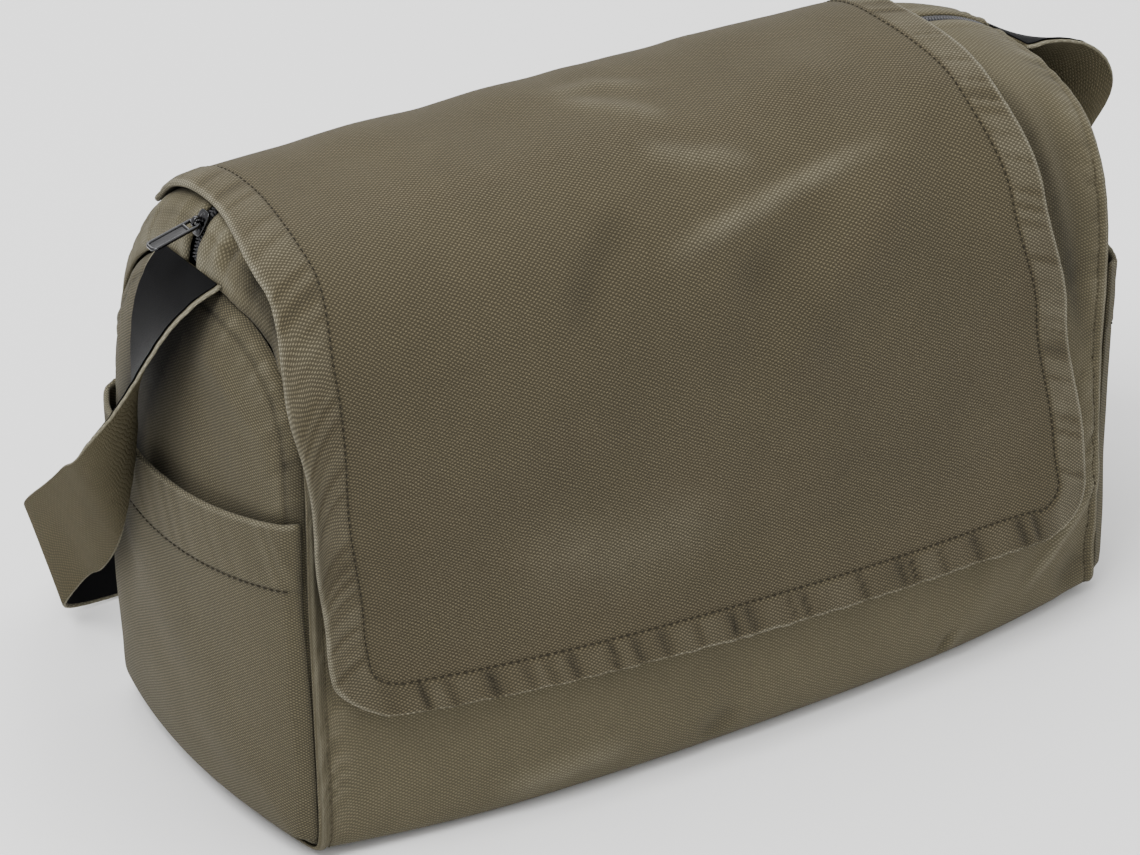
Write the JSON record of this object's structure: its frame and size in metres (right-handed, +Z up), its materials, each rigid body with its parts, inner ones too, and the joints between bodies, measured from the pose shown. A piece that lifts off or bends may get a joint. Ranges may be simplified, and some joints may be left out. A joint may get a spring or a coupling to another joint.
{
  "type": "messenger bag",
  "caption": "Stuffed canvas shoulder bag with a wide front flap over a top zip, a slip pocket on each end and a webbing strap lying behind it.",
  "frame": {"origin": "middle of the flat part of the bottom, on the surface that the bag stands on", "axes": "+X along the bag to its right end, -Y out of the front with the flap, +Z up"},
  "size_m": [0.4947, 0.2662, 0.2654],
  "materials": {
    "olive_canvas": "washed olive cotton canvas",
    "flap_canvas": "washed olive cotton canvas with worn edges",
    "strap_canvas": "washed olive cotton webbing",
    "black_lining": "smooth black backing cloth",
    "zip_black": "black zip tape and coil",
    "gunmetal": "dark polished metal"
  },
  "bodies": {
    "bag": {"body_wrap": "olive_canvas", "left_end_panel": "olive_canvas", "right_end_panel": "olive_canvas", "left_pocket": "olive_canvas", "right_pocket": "olive_canvas", "flap": "flap_canvas", "zip_tape": "zip_black", "zip_chain": "zip_black", "zip_slider": "gunmetal", "strap": "strap_canvas", "strap_lining": "black_lining"},
    "zip_pull": {"zip_pull": "gunmetal"}
  },
  "joints": [
    {"name": "zip_pull_hinge", "type": "hinge", "parent": "bag", "child": "zip_pull", "pos_m": [-0.18746, 0, 0.25516], "axis": [0, 1, 0], "range_deg": [0, 104]}
  ]
}
